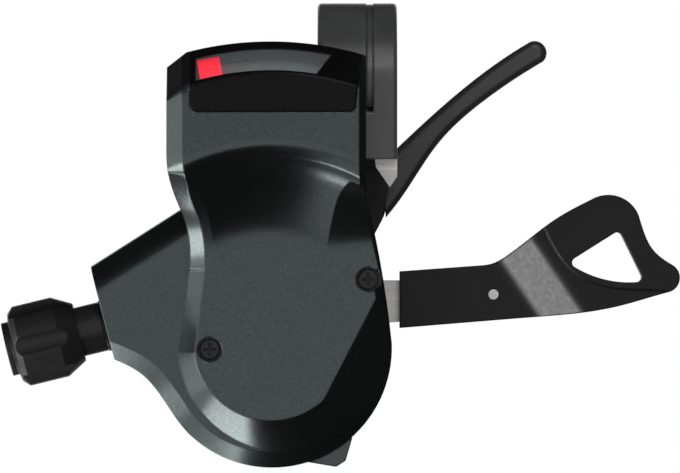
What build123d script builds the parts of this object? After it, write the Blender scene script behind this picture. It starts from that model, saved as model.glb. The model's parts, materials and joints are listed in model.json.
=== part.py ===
"""Trigger gear shifter for a flat handlebar, in millimetres.

The origin is the centre of the handlebar clamp, X runs along the bar, Z is up and
Y points away from the viewer, so the cover face looks along -Y.
"""
import os
from math import atan2, cos, degrees, radians, sin

from build123d import *

os.makedirs("parts", exist_ok=True)

# Fits
RUN = 0.05  # radial clearance of a running fit
GAP = 0.3  # clearance between pieces that move past each other
SEAT = 0.1  # clearance of a piece seated in a pocket

# Handlebar clamp
BAR_R = 11.1
BAND_T = 3.0
BAND_LEFT = -7.05
BAND_RIGHT = 7.2
BAND_SLIT = 2.0
EAR_REACH = 11.0
EAR_T = 5.5
EAR_W = 10.0
CLAMP_BOLT_R = 2.5
LEG_LENGTH = BAR_R + 2.9
LEG_T = 2.5
BAND_EDGE_R = 0.8
GROOVE_X = 1.7
GROOVE_SPAN = 1.2
GROOVE_D = 0.8
CLAMP_HEAD_R = 4.2
CLAMP_HEAD_T = 4.5
CLAMP_SOCKET_R = 2.3
CLAMP_NUT_T = 3.5

# Main axle, which also centres the round pod
AXLE_X = -15.2
AXLE_Z = -47.8
AXLE_R = 3.0
POD_R = 21.5

# Depth stack, front to back
PLATEAU_Y = -12.3
DECK_Y = -7.0
PART_Y = 3.2
COVER_WALL = 1.6
SIDE_WALL = 3.2
PLATE_INSET = SIDE_WALL + 0.7
SHOULDER = 2.9
TAB_Y = -2.4
NEEDLE_T = 0.6
PLATE_T = 1.6
AXLE_HEAD_T = 0.6
DRUM_T = 8.5
RATCHET_T = 1.6
LEVER_T = 1.6
RELEASE_Y = 12.4
TUB_FLOOR_T = 1.8
TUB_WALL = 2.0
TUB_EDGE_R = 1.4
BACK_RING_R = 17.0
BACK_RING_D = 0.7
BACK_RIB_W = 1.6
WASHER_T = 0.8
NUT_T = 3.0
NUT_R = 5.6

NEEDLE_Y = PLATEAU_Y + COVER_WALL + GAP + SEAT
AXLE_HEAD_Y = NEEDLE_Y + NEEDLE_T + GAP
PLATE_Y = AXLE_HEAD_Y + AXLE_HEAD_T
DRUM_Y = PLATE_Y + PLATE_T + GAP
RATCHET_Y = DRUM_Y + DRUM_T
LEVER_Y = RATCHET_Y + RATCHET_T + GAP
TUB_FLOOR_Y = RELEASE_Y + LEVER_T + GAP + WASHER_T + SEAT
TUB_BACK_Y = TUB_FLOOR_Y + TUB_FLOOR_T

# Cable drum
WIND_R = 10.9
FLANGE_R = 12.4
SPRING_R = 5.7
SPRING_WIRE_R = 0.5
SPRING_DEPTH = 4.5
DOWEL_REACH = 7.0
DOWEL_R = 1.0
NIPPLE_R = 2.3
NIPPLE_ANGLE = 35.0
DRIVE_SET = 2.5
GROOVE_W = 2.4
GROOVE_Y = RATCHET_Y - 2.2

# Head of the cover and its neck
HEAD_LEFT = AXLE_X - 18.7
HEAD_RIGHT = AXLE_X + 16.8
HEAD_BACK_Y = -BAR_R - BAND_T - 0.5
RIDGE_Y = HEAD_BACK_Y - 8.0
RIDGE_REACH = 49.2  # reach is counted from the main axle, which the head curves round
BROW_Y = RIDGE_Y - 0.8
BROW_REACH = RIDGE_REACH - 14.2
BROW_R = 3.6
FRAME_RIDGE_R = 0.8
SCOOP_REACH = 16.8
SLOPE_TOP_Y = HEAD_BACK_Y - 2.0
SLOPE_TOP_REACH = RIDGE_REACH + 6.4
PROFILE_BACK_Y = 30.0  # behind everything, where sections of the head are closed
FACET = 2.9
FACET_RIGHT = 1.2
CHEEK_REACH = BROW_REACH - 1.2
CHEEK_Y = BROW_Y + 0.7
CHEEK_FRONT_Y = BROW_Y - 10
CHEEK_FOOT_IN = 13.4
CHEEK_FOOT_OUT = 17.0
NECK_FOOT = 14.0  # where the neck meets the plateau, above the axle
FACET_TILT = 4.0  # degrees, so the plateau's facet deepens towards its foot
HEAD_BACK_T = 1.0
HEAD_FLOOR_Z = -BAR_R - BAND_T - 0.7

# Indicator in the head
FRAME_LEFT = HEAD_LEFT + 4.3
FRAME_RIGHT = HEAD_RIGHT - 1.0
FRAME_LOW_Z = AXLE_Z + RIDGE_REACH - 7.0
FRAME_SLANT = 1.0
FRAME_T = 1.6
FRAME_CORNER_R = 1.3
WINDOW_LEFT = FRAME_LEFT + 0.9
WINDOW_RIGHT = FRAME_RIGHT - 5.2
WINDOW_SLANT = 2.6
WINDOW_LOW_REACH = RIDGE_REACH + 0.3
WINDOW_TOP_REACH = SLOPE_TOP_REACH - 2.3
LENS_T = 1.1
DIAL_DEPTH = 3.6
DIAL_T = 0.6
FLAG_DEPTH = 2.3
FLAG_T = 0.5
FLAG_W = 4.0
FLAG_LOW = 0.5
FLAG_TOP = 6.9

# Needle that carries the flag, and its drive pin on the drum
NEEDLE_PIVOT_DROP = 11.0
NEEDLE_W = 3.0
NEEDLE_PIN_R = 1.2
DRIVE_RADIUS = 8.0
DRIVE_PIN_R = 0.8
DRIVE_REST = 24.4  # degrees left of the top
DRUM_TURN = 40.0

# Wing and cable adjuster
WING_ROOT = (AXLE_X - 16.1, AXLE_Z + 25.1)
WING_TOP = (AXLE_X - 32.6, AXLE_Z + 14.6)
WING_LOW = (AXLE_X - 28.3, AXLE_Z - 2.1)
WING_WAIST = (AXLE_X - 23.1, AXLE_Z - 5.0)
WING_EDGE_R = 5.0
ADJ_X = AXLE_X - 30.35
ADJ_Z = AXLE_Z + 3.85
ADJ_DROP = 13.7  # degrees below horizontal
ADJ_BOSS_R = 4.6
ADJ_THREAD_R = 2.9
ADJ_THREAD_L = 9.0
ADJ_NECK_R = 4.45
ADJ_NECK_L = 4.5
KNOB_R = 7.3
KNOB_L = 13.3
KNOB_END_R = 4.85
KNOB_STEP_R = 6.2
KNOB_TAPER_L = 3.6
KNOB_TAPER = 2.0
KNOB_FLUTES = 6
FLUTE_R = 2.5
FLUTE_REACH = 8.9
CASING_R = 2.1
CASING_DEPTH = 8.0
CABLE_HOLE_R = 0.9

# Cover screws
SCREW_LEFT = (AXLE_X - 11.1, AXLE_Z - 0.2)
SCREW_RIGHT = (AXLE_X + 17.2, AXLE_Z + 12.3)
SCREW_R = 1.0
SCREW_HEAD_R = 1.88
SCREW_HEAD_T = 1.3
SCREW_SINK = 0.6

# Bracket that joins the base plate to the clamp
BRACKET_TOP_Z = HEAD_FLOOR_Z + 4.2
BRACKET_LEFT = AXLE_X - 10.8
BRACKET_RIGHT = BAND_RIGHT
POD_TOP_Z = AXLE_Z + 25.1
NECK_RISE = HEAD_FLOOR_Z - POD_TOP_Z
JOG_LOW_Z = POD_TOP_Z + NECK_RISE * 17 / 79
JOG_TOP_Z = HEAD_FLOOR_Z - NECK_RISE * 12 / 79
RIVET_R = 1.2
RIVET_HEAD_R = 1.6
RIVET_HEAD_T = 0.6
RIVET_X = (-4.6, -0.6)

# Ratchet and pawls
RATCHET_R = 11.2
TOOTH_DEPTH = 1.8
TOOTH_PITCH = DRUM_TURN / 2
TEETH = 3
PAWL_EYE_R = 2.2
PAWL_PIN_R = 1.2
PIN_ROOM = 1.4
PAWL_REACH = FLANGE_R + PAWL_PIN_R + PIN_ROOM
PAWL_ROOM = 0.5
DRUM_ROOM_R = PAWL_REACH + PAWL_EYE_R + PAWL_ROOM
PAWL_PIN_HEAD_R = 1.8
PAWL_PIN_HEAD_T = 0.7
HOLD_PIN_SET = 6.0
PAWL_GAP = 0.4
PAWL_NOSE = 1.6
PAWL_SPAN = 35.0
FEED_ANGLE = 110.0
HOLD_ANGLE = 205.0

# Levers
HUB_R = 7.5
BUSH_R = 4.5
MAIN_SWEEP = 35.0
RELEASE_SWEEP = 14.0
CAP_RIVET = (AXLE_X + 39.8, AXLE_Z + 9.55)
CAP_RIVET_R = 0.9
CAP_FRONT_T = 2.1
CAP_BACK_T = 2.3
PAD_RISE = 4.0
PAD_T = 5.2
BEND = (AXLE_X + 47.2, AXLE_Z + 12.8)
BEND_TILT = 34.5
BEND_RUN = 8.0
BEND_R = 5.0
RIM_T = 0.5
RELEASE_CAP_FRONT_T = 0.6
RELEASE_CAP_BACK_T = 2.8
RELEASE_EDGE_R = 1.3

# Cable port on the right
PORT_X = AXLE_X + 18.0
PORT_R = 2.0
PORT_HEAD_R = 2.5

# Pod outline
POD_RIGHT_TOP = (AXLE_X + 17.4, POD_TOP_Z)
POD_RIGHT_MID = (AXLE_X + 19.9, AXLE_Z + 12.6)
POD_LOW_ANGLE = 228.0
POD_RIGHT_ANGLE = 2.0


def keep(part, name):
    """Label a finished piece and write it as its own file."""
    part.label = name
    export_step(part, f"parts/{name}.step")


def at_depth(y):
    """Sketch plane at depth y that faces the viewer: local X is X and local Y is Z."""
    return Plane.XZ.offset(-y)


def spot(x, z):
    """Place in the front view, counted from the main axle."""
    return (AXLE_X + x, AXLE_Z + z)


def on_pod(radius, angle):
    """Point at a polar place round the main axle, angle counted from +X towards +Z."""
    return (AXLE_X + radius * cos(radians(angle)), AXLE_Z + radius * sin(radians(angle)))


def pod_face():
    """Front outline of the pod and its cable wing."""
    low = on_pod(POD_R, POD_LOW_ANGLE)
    right = on_pod(POD_R, POD_RIGHT_ANGLE)
    low_run = (-sin(radians(POD_LOW_ANGLE)), cos(radians(POD_LOW_ANGLE)))
    with BuildSketch() as face:
        with BuildLine():
            Polyline(POD_RIGHT_TOP, WING_ROOT, WING_TOP, WING_LOW)
            Spline(WING_LOW, WING_WAIST, low, tangents=[(0.93, -0.37), low_run])
            ThreePointArc(low, on_pod(POD_R, 295), right)
            Spline(right, POD_RIGHT_MID, POD_RIGHT_TOP)
        make_face()
    return face.sketch


def raised_face(inset=0.0, plateau=True):
    """Front outline of the raised body: head and neck, with or without the plateau."""
    left = HEAD_LEFT + inset
    right = HEAD_RIGHT - inset
    top = AXLE_Z + SLOPE_TOP_REACH - inset
    crown_left = (left + 3.6 - 0.5 * inset, top - 2.8)
    crown_right = (right, top - 3.4)
    brow_left = (left, AXLE_Z + BROW_REACH - 0.2)
    brow_right = (right, AXLE_Z + BROW_REACH - 1.5)
    neck_left = spot(-14.8 + inset, NECK_FOOT)
    neck_right = spot(19.2 - inset, NECK_FOOT)
    plateau_left = spot(-16.7 + inset, -0.7)
    plateau_low_left = spot(-11.5 + 0.7 * inset, -13.1 + 0.7 * inset)
    plateau_low = spot(9.5 - 0.3 * inset, -16.0 + inset)
    plateau_right = spot(20.1 - inset, 7.3)
    with BuildSketch() as face:
        with BuildLine():
            Polyline(brow_left, (left, top - 5.5 + 0.5 * inset), crown_left)
            ThreePointArc(crown_left, (AXLE_X - 1.1, top - 0.9), crown_right)
            Line(crown_right, brow_right)
            Spline(
                brow_right,
                spot(17.8 - inset, 19.9),
                neck_right,
                tangents=[(0, -1), (0.2, -1)],
            )
            if plateau:
                Polyline(neck_right, plateau_right, plateau_low)
                ThreePointArc(plateau_low, plateau_low_left, plateau_left)
                Line(plateau_left, neck_left)
            else:
                Line(neck_right, neck_left)
            Spline(
                neck_left,
                spot(-14.9 + inset, 20.3),
                brow_left,
                tangents=[(0.13, 1), (0, 1)],
            )
        make_face()
        if plateau:
            fillet(face.vertices().sort_by_distance(plateau_low)[0], radius=6)
    return face.sketch


def mitre(corner, normal_a, normal_b, inset):
    """Corner of an outline moved in from two sides, given their inward unit normals."""
    step = (normal_a + normal_b) * (inset / (1 + normal_a.dot(normal_b)))
    return (corner[0] + step.X, corner[1] + step.Y)


def raised_profile(inset=0.0, ridge_r=BROW_R):
    """Section of the raised body: depth across, reach from the main axle up."""
    rise = PLATEAU_Y - BROW_Y
    run = BROW_REACH - SCOOP_REACH
    scoop_r = (rise**2 + run**2) / (2 * rise)
    scoop_in = Vector(scoop_r - rise, run) / scoop_r
    face_in = Vector(RIDGE_REACH - BROW_REACH, BROW_Y - RIDGE_Y).normalized()
    slope_in = Vector(SLOPE_TOP_REACH - RIDGE_REACH, RIDGE_Y - SLOPE_TOP_Y).normalized()
    foot = (PLATEAU_Y + inset, SCOOP_REACH)
    brow = mitre((BROW_Y, BROW_REACH), scoop_in, face_in, inset)
    ridge = mitre((RIDGE_Y, RIDGE_REACH), face_in, slope_in, inset)
    top = mitre((SLOPE_TOP_Y, SLOPE_TOP_REACH), slope_in, Vector(0, -1), inset)
    with BuildSketch() as face:
        with BuildLine():
            Line((foot[0], 0), foot)
            TangentArc(foot, brow, tangent=(0, 1))
            Polyline(brow, ridge, top, (PROFILE_BACK_Y, top[1]), (PROFILE_BACK_Y, 0), (foot[0], 0))
        make_face()
        fillet(face.vertices().sort_by_distance(brow)[0], radius=BROW_R)
        fillet(face.vertices().sort_by_distance(ridge)[0], radius=ridge_r)
    return face.sketch


# Frame of the main axle: a plane that lies flat to its right, and its turn over the top
AXLE_FLAT = Plane(origin=(AXLE_X, 0, AXLE_Z), x_dir=(0, 1, 0), z_dir=(0, 0, -1))
AXLE_OVER = Axis((AXLE_X, 0, AXLE_Z), (0, -1, 0))


def raised_solid(inset=0.0, side_inset=0.0, ridge_r=BROW_R, plateau=True):
    """Head and neck as one block, with or without the plateau, set in from the outer skin."""
    with BuildPart() as block:
        with BuildSketch(AXLE_FLAT):
            add(raised_profile(inset, ridge_r))
        revolve(axis=AXLE_OVER, revolution_arc=180)
        with BuildSketch(at_depth(PART_Y)):
            with Locations((AXLE_X, AXLE_Z)):
                Rectangle(4 * POD_R, 2 * POD_R, align=(Align.CENTER, Align.MAX))
        extrude(amount=PART_Y - PLATEAU_Y - inset)
        with BuildSketch(at_depth(PART_Y)):
            add(raised_face(side_inset, plateau))
        extrude(amount=POD_R * 2, mode=Mode.INTERSECT)
    return block.part


def plateau_block(drop=0.0):
    """Plateau below the neck, moved back by drop, with a facet that widens to the foot and right."""
    lean = cos(radians(FACET_TILT))
    foot_y = PLATEAU_Y + FACET + NECK_FOOT * (1 - lean**2) ** 0.5 / lean + drop
    outer_plane = Plane(
        origin=(AXLE_X, foot_y, AXLE_Z),
        x_dir=(1, 0, 0),
        z_dir=(0, -lean, -sin(radians(FACET_TILT))),
    )
    with BuildPart() as block:
        with BuildSketch(outer_plane) as outer:
            with BuildLine():
                Polyline(
                    (20.3, 7.5 / lean),
                    (19.2, NECK_FOOT / lean),
                    (-14.8, NECK_FOOT / lean),
                    (-16.7, -0.7),
                )
                ThreePointArc((-16.7, -0.7), (0.5, -18.5), (14.5, -13.9))
                ThreePointArc((14.5, -13.9), (19.7, -5.0), (20.3, 7.5 / lean))
            make_face()
        with BuildSketch(at_depth(PLATEAU_Y + drop)):
            with BuildLine():
                Polyline(
                    spot(9.2, -9.2),
                    spot(18.6, 8.8),
                    spot(19.2 - FACET_RIGHT, NECK_FOOT),
                    spot(FACET - 14.8, NECK_FOOT),
                    spot(FACET - 16.7, -0.7),
                )
                ThreePointArc(spot(FACET - 16.7, -0.7), spot(-1.0, -12.9), spot(9.2, -9.2))
            make_face()
        loft(ruled=True)
        extrude(outer.sketch, amount=PROFILE_BACK_Y, dir=(0, 1, 0))
        with BuildSketch(at_depth(2 * PROFILE_BACK_Y)):
            with Locations(spot(0, 0)):
                Rectangle(8 * POD_R, 8 * POD_R)
        extrude(amount=2 * PROFILE_BACK_Y - PART_Y, mode=Mode.SUBTRACT)
    return block.part


# Adjuster axis, pointing out of the wing at the depth of the drum's groove
ADJ_OUT = (-cos(radians(ADJ_DROP)), 0, -sin(radians(ADJ_DROP)))
ADJ_PLANE = Plane(origin=(ADJ_X, GROOVE_Y, ADJ_Z), x_dir=(0, 1, 0), z_dir=ADJ_OUT)
PORT_RUN = (PORT_X - ADJ_X) / cos(radians(ADJ_DROP))
PORT_PLANE = ADJ_PLANE.offset(-PORT_RUN)
BRACKET_Y = -(BAR_R + BAND_T) + LEG_T
NEEDLE_PIVOT = (AXLE_X, AXLE_Z - NEEDLE_PIVOT_DROP)
DRIVE_ASIDE = DRIVE_RADIUS * sin(radians(DRIVE_REST))
DRIVE_RISE = NEEDLE_PIVOT_DROP + DRIVE_RADIUS * cos(radians(DRIVE_REST))
NEEDLE_TILT = degrees(atan2(DRIVE_ASIDE, DRIVE_RISE))


def head_region(grow=0.0):
    """Front outline of the place that the indicator takes in the head."""
    left = FRAME_LEFT - grow
    right = FRAME_RIGHT + grow
    low = FRAME_LOW_Z - grow
    with BuildSketch() as face:
        with BuildLine():
            Polyline(
                (left, low),
                (right - FRAME_SLANT, low),
                (right + FRAME_SLANT, low + 20),
                (left, low + 20),
                close=True,
            )
        make_face()
        fillet(face.vertices().sort_by(Axis.Y)[:2], radius=FRAME_CORNER_R)
    return face.sketch


def arc_over_axle(reach, left, right):
    """Three points of an arc round the main axle between two X places."""
    points = []
    for x in (left, (left + right) / 2, right):
        points.append((x, AXLE_Z + (reach**2 - (x - AXLE_X) ** 2) ** 0.5))
    return points


def window_face(inset=0.0):
    """Front outline of the indicator's window."""
    low = arc_over_axle(WINDOW_LOW_REACH + inset, WINDOW_LEFT + inset, WINDOW_RIGHT - WINDOW_SLANT)
    top = arc_over_axle(WINDOW_TOP_REACH - inset, WINDOW_LEFT + inset, WINDOW_RIGHT - inset)
    with BuildSketch() as face:
        with BuildLine():
            ThreePointArc(*low)
            Line(low[2], top[2])
            ThreePointArc(*top)
            Line(top[0], low[0])
        make_face()
    return face.sketch


def cheek_cut(x_in, x_out, y_out):
    """Cut that slopes one side of the neck's scoop back, from before the scoop at x_in out to x_out."""
    with BuildPart() as cut:
        for x, foot, y_top in ((x_in, CHEEK_FOOT_IN, CHEEK_Y), (x_out, CHEEK_FOOT_OUT, y_out)):
            top_z = AXLE_Z + (CHEEK_REACH**2 - x**2) ** 0.5
            foot_z = AXLE_Z + foot
            low_z = AXLE_Z + NECK_FOOT - 1
            with BuildSketch(Plane.YZ.offset(AXLE_X + x)):
                with BuildLine():
                    Line((PLATEAU_Y, low_z), (PLATEAU_Y, foot_z))
                    TangentArc((PLATEAU_Y, foot_z), (y_top, top_z), tangent=(0, 1))
                    Polyline(
                        (y_top, top_z),
                        (CHEEK_FRONT_Y, top_z),
                        (CHEEK_FRONT_Y, low_z),
                        (PLATEAU_Y, low_z),
                    )
                make_face()
        loft(ruled=True)
    return cut.part


# Top cover: deck over the drum and wing, with head, neck and plateau raised on it
with BuildPart() as raised_body:
    add(raised_solid(plateau=False))
    front = raised_body.faces().filter_by(lambda f: f.normal_at().Y < -0.2)
    front_edges = front.edges()
    rim = front_edges.filter_by(lambda e: len([o for o in front_edges if o.is_same(e)]) == 1)
    sides = rim.filter_by(lambda e: AXLE_Z + NECK_FOOT + 0.5 < e.center().Z < AXLE_Z + RIDGE_REACH + 1.6)
    chamfer(sides.filter_by(lambda e: e.center().X < AXLE_X), length=FACET)
    chamfer(sides.filter_by(lambda e: e.center().X > AXLE_X), length=FACET_RIGHT)
    add(cheek_cut(6.6, 20.5, BROW_Y + 5.4), mode=Mode.SUBTRACT)
    add(cheek_cut(-7.8, -20.5, BROW_Y + 4.6), mode=Mode.SUBTRACT)

with BuildPart() as head_back:
    with BuildSketch(at_depth(PROFILE_BACK_Y)):
        with Locations((AXLE_X, AXLE_Z + BROW_REACH - HEAD_BACK_T)):
            Rectangle(60, 30, align=(Align.CENTER, Align.MIN))
    extrude(amount=PROFILE_BACK_Y - HEAD_BACK_Y + HEAD_BACK_T)

with BuildPart() as under_skin:
    add(plateau_block(COVER_WALL))
    with BuildSketch(at_depth(PART_Y)):
        with Locations(spot(0, NECK_FOOT)):
            Rectangle(4 * POD_R, 4 * POD_R, align=(Align.CENTER, Align.MIN))
    extrude(amount=2 * POD_R)

with BuildPart() as cover_pocket:
    add(raised_solid(COVER_WALL, SIDE_WALL))
    add(under_skin.part, mode=Mode.INTERSECT)
    add(head_back.part, mode=Mode.SUBTRACT)

with BuildPart() as top_cover:
    with BuildSketch(at_depth(PART_Y)):
        add(pod_face())
    extrude(amount=PART_Y - DECK_Y)
    deck_edges = top_cover.faces().sort_by(Axis.Y)[0].edges()
    chamfer(deck_edges.filter_by(lambda e: e.center().Z < AXLE_Z), length=SHOULDER)
    wing_edge = ((WING_ROOT[0] + WING_TOP[0]) / 2, DECK_Y, (WING_ROOT[1] + WING_TOP[1]) / 2)
    fillet(top_cover.edges().sort_by_distance(wing_edge)[0], radius=WING_EDGE_R)
    # Tab at the foot, for a screwdriver
    with BuildSketch(at_depth(PART_Y)):
        with BuildLine():
            Polyline(
                spot(6.1, -20.5),
                spot(11.5, -21.4),
                spot(13.2, -20.3),
                spot(14.4, -16.2),
                spot(9.2, -12.2),
                close=True,
            )
        tab = make_face()
        fillet(tab.vertices().sort_by_distance(spot(12.4, -21.4))[:2], radius=0.8)
    extrude(amount=PART_Y - TAB_Y)
    add(plateau_block())
    add(raised_body.part)
    # Room behind the head and neck for the clamp and its bracket
    with BuildSketch(Plane.YZ.offset(-60)):
        with BuildLine():
            Polyline(
                (HEAD_BACK_Y, 20),
                (HEAD_BACK_Y, HEAD_FLOOR_Z),
                (BRACKET_Y - GAP, HEAD_FLOOR_Z),
                (BRACKET_Y - GAP, JOG_TOP_Z),
                (PLATE_Y - GAP, JOG_LOW_Z),
                (PLATE_Y - GAP, POD_TOP_Z),
                (PART_Y, POD_TOP_Z),
                (PART_Y, 20),
                close=True,
            )
        make_face()
    extrude(amount=100, mode=Mode.SUBTRACT)
    add(cover_pocket.part, mode=Mode.SUBTRACT)
    # Room round the drum and along the cable
    with BuildSketch(at_depth(PART_Y)):
        with Locations((AXLE_X, AXLE_Z)):
            Circle(DRUM_ROOM_R)
    extrude(amount=PART_Y - DECK_Y - COVER_WALL, mode=Mode.SUBTRACT)
    with BuildSketch(ADJ_PLANE):
        Circle(ADJ_BOSS_R + SEAT)
        with Locations((PART_Y - GROOVE_Y, 0)):
            Rectangle(2 * (PART_Y - GROOVE_Y), 2 * (ADJ_BOSS_R + SEAT), align=(Align.MAX, Align.CENTER))
    extrude(amount=20, both=True, mode=Mode.SUBTRACT)
    # Screw bosses, their holes and the sunk seats of the heads
    with BuildSketch(at_depth(PART_Y)):
        with Locations(SCREW_RIGHT):
            Circle(SCREW_HEAD_R + 0.6)
    extrude(amount=PART_Y - PLATEAU_Y - COVER_WALL)
    with BuildSketch(at_depth(PLATE_Y)):
        with Locations(SCREW_LEFT):
            Circle(SCREW_HEAD_R + 0.6)
    extrude(amount=PLATE_Y - PLATEAU_Y - COVER_WALL)
    with BuildSketch(at_depth(PART_Y)):
        with Locations(SCREW_LEFT, SCREW_RIGHT):
            Circle(SCREW_R + SEAT)
    extrude(amount=PART_Y - PLATEAU_Y, mode=Mode.SUBTRACT)
    with BuildSketch(at_depth(PLATEAU_Y + SCREW_SINK + SCREW_HEAD_T)):
        with Locations(SCREW_LEFT, SCREW_RIGHT):
            Circle(SCREW_HEAD_R + 3 * SEAT)
    extrude(amount=10, mode=Mode.SUBTRACT)
    # Opening for the indicator
    with BuildSketch(at_depth(HEAD_BACK_Y - HEAD_BACK_T)):
        add(head_region(SEAT))
    extrude(amount=20, mode=Mode.SUBTRACT)
    # Cable port
    with BuildSketch(PORT_PLANE):
        Circle(PORT_R + SEAT)
    extrude(amount=6, both=True, mode=Mode.SUBTRACT)
    with BuildSketch(PORT_PLANE):
        Circle(PORT_HEAD_R + SEAT)
    extrude(amount=-6, mode=Mode.SUBTRACT)
keep(top_cover.part, "top_cover")


def disc(name, centre, radius, front, back, bore=0.0):
    """Round pin, washer or bush along the main axle's direction."""
    with BuildPart() as piece:
        with BuildSketch(at_depth(back)):
            with Locations(centre):
                Circle(radius)
                if bore:
                    Circle(bore, mode=Mode.SUBTRACT)
        extrude(amount=back - front)
    keep(piece.part, name)


AXLE = (AXLE_X, AXLE_Z)
TUB_ROOM_R = POD_R - TUB_WALL
BLOCK_BACK_Y = RELEASE_Y - 2 * GAP
LEVER_BACK_Y = LEVER_Y + LEVER_T
RELEASE_BACK_Y = RELEASE_Y + LEVER_T

# Rear housing: tub behind the cover, with the adjuster boss and the lever slots
with BuildPart() as rear_housing:
    with BuildSketch(at_depth(TUB_BACK_Y)):
        add(pod_face())
    extrude(amount=TUB_BACK_Y - PART_Y)
    fillet(rear_housing.faces().sort_by(Axis.Y)[-1].edges(), radius=TUB_EDGE_R)
    with BuildSketch(at_depth(TUB_BACK_Y)):
        with Locations(AXLE):
            Circle(BACK_RING_R)
            Circle(HUB_R + 1, mode=Mode.SUBTRACT)
            with PolarLocations(BACK_RING_R / 2, 6, start_angle=15):
                Rectangle(BACK_RING_R, BACK_RIB_W, mode=Mode.SUBTRACT)
    extrude(amount=BACK_RING_D, mode=Mode.SUBTRACT)
    # Room for the levers
    with BuildSketch(at_depth(TUB_FLOOR_Y)):
        with Locations(AXLE):
            Circle(TUB_ROOM_R)
        with BuildLine():
            Polyline(
                (AXLE_X - 6.8, POD_TOP_Z - TUB_WALL),
                (AXLE_X + 16.2, POD_TOP_Z - TUB_WALL),
                spot(17.6, 14.8),
                spot(-6.8, 14.8),
                close=True,
            )
        make_face()
    extrude(amount=TUB_FLOOR_Y - PART_Y, mode=Mode.SUBTRACT)
    # Slot for the main lever's sweep
    with BuildSketch(at_depth(LEVER_BACK_Y + 2 * GAP)):
        with BuildLine():
            Polyline(
                AXLE,
                on_pod(2 * POD_R, 31.2),
                on_pod(2 * POD_R, 0),
                on_pod(2 * POD_R, -MAIN_SWEEP + 5),
                close=True,
            )
        make_face()
        with Locations(AXLE):
            Circle(TUB_ROOM_R - 0.5, mode=Mode.SUBTRACT)
    extrude(amount=LEVER_BACK_Y + 2 * GAP - PART_Y, mode=Mode.SUBTRACT)
    # Slot for the release lever's sweep
    with BuildSketch(at_depth(RELEASE_BACK_Y + 2 * GAP)):
        with BuildLine():
            Polyline(
                (AXLE_X + 6.2, POD_TOP_Z - 5),
                spot(6.2, 48),
                spot(45, 48),
                spot(45, 8.6),
                spot(15.2, 8.6),
                spot(11.2, 13.8),
                close=True,
            )
        make_face()
    extrude(amount=RELEASE_BACK_Y + 2 * GAP - BLOCK_BACK_Y, mode=Mode.SUBTRACT)
    # Block for the right cover screw
    with BuildSketch(at_depth(BLOCK_BACK_Y)):
        with Locations(SCREW_RIGHT):
            Circle(SCREW_HEAD_R + 0.4)
        with BuildLine():
            Polyline(spot(15.2, 13.3), spot(19.4, 13.6), spot(18.4, 19.8), spot(15.8, 19.8), close=True)
        make_face()
    extrude(amount=BLOCK_BACK_Y - PART_Y)
    # Fin that stands up behind the bracket
    with BuildSketch(at_depth(BLOCK_BACK_Y - GAP)):
        with BuildLine():
            Polyline(
                spot(15.4, 23.0),
                (AXLE_X + 15.8, HEAD_FLOOR_Z - 0.6),
                (AXLE_X + 19.4, HEAD_FLOOR_Z - 0.6),
                spot(20.9, 28.6),
                spot(19.8, 23.0),
                spot(18.2, 20.0),
                close=True,
            )
        make_face()
    extrude(amount=BLOCK_BACK_Y - GAP - PART_Y)
    # Wall that closes the top between the sides of the cover
    with BuildSketch(at_depth(PART_Y)):
        with Locations((AXLE_X + 0.6, POD_TOP_Z)):
            Rectangle(22.0, TUB_WALL, align=(Align.CENTER, Align.MAX))
    extrude(amount=PART_Y - PLATE_Y - PLATE_T - GAP)
    # Post for the hold pawl's pin
    with BuildSketch(at_depth(TUB_FLOOR_Y)):
        with Locations(on_pod(PAWL_REACH, HOLD_ANGLE)):
            Circle(PAWL_EYE_R)
    extrude(amount=TUB_FLOOR_Y - PART_Y - SEAT)
    with BuildSketch(at_depth(PART_Y + HOLD_PIN_SET)):
        with Locations(on_pod(PAWL_REACH, HOLD_ANGLE)):
            Circle(PAWL_PIN_R + 0.02)
    extrude(amount=HOLD_PIN_SET, mode=Mode.SUBTRACT)
    # Adjuster boss and the web under it
    with BuildSketch(ADJ_PLANE):
        Circle(ADJ_BOSS_R)
        with Locations((PART_Y + 2 - GROOVE_Y, 0)):
            Rectangle(PART_Y + 2 - GROOVE_Y, 2 * ADJ_BOSS_R, align=(Align.MAX, Align.CENTER))
    extrude(amount=-ADJ_THREAD_L)
    # Holes: adjuster thread, axle, right cover screw
    with BuildSketch(ADJ_PLANE):
        Circle(ADJ_THREAD_R + RUN)
    extrude(amount=-2 * ADJ_THREAD_L, mode=Mode.SUBTRACT)
    with BuildSketch(at_depth(TUB_BACK_Y)):
        with Locations(AXLE):
            Circle(AXLE_R + SEAT)
    extrude(amount=TUB_FLOOR_T * 2, mode=Mode.SUBTRACT)
    with BuildSketch(at_depth(BLOCK_BACK_Y)):
        with Locations(SCREW_RIGHT):
            Circle(SCREW_R + 0.02)
    extrude(amount=BLOCK_BACK_Y - PART_Y, mode=Mode.SUBTRACT)
keep(rear_housing.part, "rear_housing")

DRIVE_ARC = CenterArc(AXLE, DRIVE_RADIUS, 90 + DRIVE_REST - DRUM_TURN - 4, DRUM_TURN + 8)

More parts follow.
